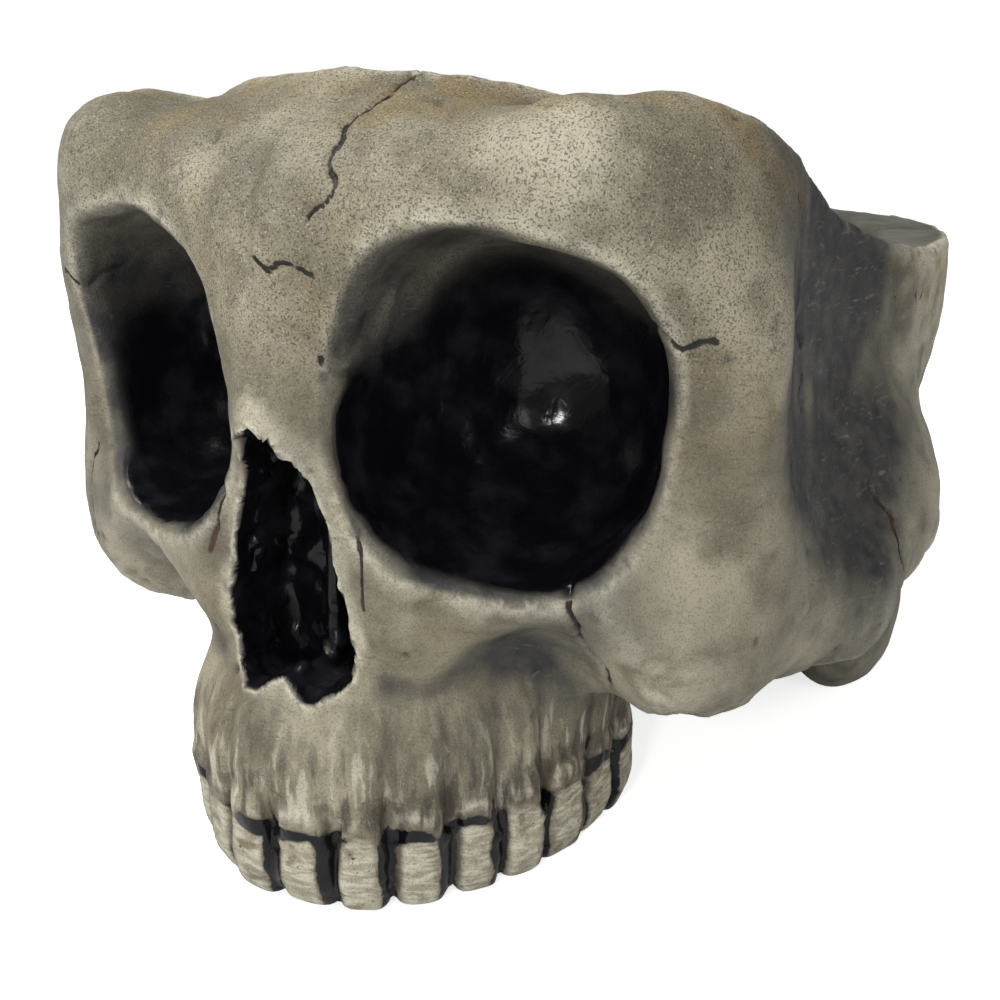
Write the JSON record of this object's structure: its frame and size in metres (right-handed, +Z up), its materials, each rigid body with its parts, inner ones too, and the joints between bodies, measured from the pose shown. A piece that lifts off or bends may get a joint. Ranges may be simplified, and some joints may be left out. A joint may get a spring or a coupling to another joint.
{
  "type": "bubbling ornament",
  "caption": "Skull-shaped resin aquarium ornament: an open bowl on top holds an air diffuser, fed through a swivelling airline elbow low at the back.",
  "frame": {"origin": "middle of the whole part's length and width, at the face it stands on", "axes": "+Z is up, -Y is the way the face looks, and +X is towards the skull's own left"},
  "size_m": [0.116, 0.1588, 0.096],
  "materials": {
    "resin": "matte",
    "black_nylon": "satin",
    "black_rubber": "matte",
    "hose_silicone": "satin",
    "sintered_stone": "matte",
    "cup_rubber": "satin"
  },
  "bodies": {
    "casting": {"skull_casting": "resin", "inlet_bulkhead": "black_nylon", "bulkhead_gasket": "black_rubber", "bulkhead_nut": "black_nylon", "swivel_o_ring": "black_rubber", "supply_hose": "hose_silicone", "diffuser_dish": "black_nylon", "stone_gasket": "black_rubber", "suction_cups": "cup_rubber"},
    "elbow": {"inlet_elbow": "black_nylon"},
    "stone": {"diffuser_stone": "sintered_stone"}
  },
  "joints": [
    {"name": "elbow_swivel", "type": "hinge", "parent": "casting", "child": "elbow", "pos_m": [0, 0.07465, 0.03836], "axis": [0, 1, 0], "continuous": true},
    {"name": "stone_lift", "type": "slide", "parent": "casting", "child": "stone", "axis": [0, 0, 1], "range_m": [0, 0.07]}
  ]
}
